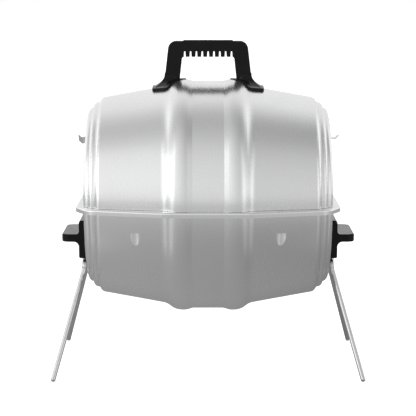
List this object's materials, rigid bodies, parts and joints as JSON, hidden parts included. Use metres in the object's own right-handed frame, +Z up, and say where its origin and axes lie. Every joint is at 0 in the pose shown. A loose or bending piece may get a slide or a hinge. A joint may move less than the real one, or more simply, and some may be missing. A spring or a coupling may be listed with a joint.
{
  "type": "barrel charcoal grill",
  "caption": "Portable charcoal grill of two pressed half barrels with a lift-off lid, black handles, vent dampers, wire grates and folding rod legs.",
  "frame": {"origin": "on the floor under the middle of the barrel", "axes": "+Z up, +X along the barrel to its right end, -Y to the front"},
  "size_m": [0.527, 0.416, 0.563],
  "materials": {
    "satin_steel": "satin",
    "bowl_steel": "satin",
    "black_plastic": "satin moulded",
    "zinc": "zinc plated",
    "chrome_wire": "plated wire",
    "polished_rod": "polished"
  },
  "bodies": {
    "bowl": {"bowl_shell": "bowl_steel", "air_shutter_rivets": "zinc", "side_handle_screws": "zinc", "side_handle_washers": "zinc", "leg_bracket_screws": "zinc", "leg_bracket_nuts": "zinc", "side_handle_left": "black_plastic", "side_handle_right": "black_plastic", "leg_bracket_left": "zinc", "leg_bracket_right": "zinc"},
    "lid": {"lid_shell": "satin_steel", "lid_handle": "black_plastic", "lid_handle_screws": "zinc", "lid_handle_washers": "zinc", "damper_rivet_left": "zinc", "damper_rivet_right": "zinc"},
    "damper_left": {"vent_damper_left": "satin_steel"},
    "damper_right": {"vent_damper_right": "satin_steel"},
    "shutter": {"air_shutter": "satin_steel"},
    "grate": {"cooking_grate": "chrome_wire"},
    "coal_rack": {"charcoal_grate": "chrome_wire"},
    "leg_left": {"leg_frame_left": "polished_rod"},
    "leg_right": {"leg_frame_right": "polished_rod"}
  },
  "joints": [
    {"name": "lid_lift", "type": "slide", "parent": "bowl", "child": "lid", "axis": [0, 0, 1], "range_m": [0, 0.26]},
    {"name": "damper_turn_left", "type": "hinge", "parent": "lid", "child": "damper_left", "pos_m": [-0.205, 0, 0.3713], "axis": [1, 0, 0], "range_deg": [-85, 50]},
    {"name": "damper_turn_right", "type": "hinge", "parent": "lid", "child": "damper_right", "pos_m": [0.205, 0, 0.3713], "axis": [1, 0, 0], "range_deg": [-45, 45]},
    {"name": "shutter_slide", "type": "hinge", "parent": "bowl", "child": "shutter", "pos_m": [0, 0, 0.296], "axis": [1, 0, 0], "range_deg": [0, 6]},
    {"name": "cooking_grate_lift", "type": "slide", "parent": "bowl", "child": "grate", "axis": [0, 0, 1], "range_m": [0, 0.03]},
    {"name": "charcoal_grate_lift", "type": "slide", "parent": "bowl", "child": "coal_rack", "axis": [0, 0, 1], "range_m": [0, 0.04]},
    {"name": "leg_fold_left", "type": "hinge", "parent": "bowl", "child": "leg_left", "pos_m": [-0.212, 0, 0.1865], "axis": [0, 1, 0], "range_deg": [0, 150]},
    {"name": "leg_fold_right", "type": "hinge", "parent": "bowl", "child": "leg_right", "pos_m": [0.212, 0, 0.1865], "axis": [0, -1, 0], "range_deg": [0, 150]}
  ]
}
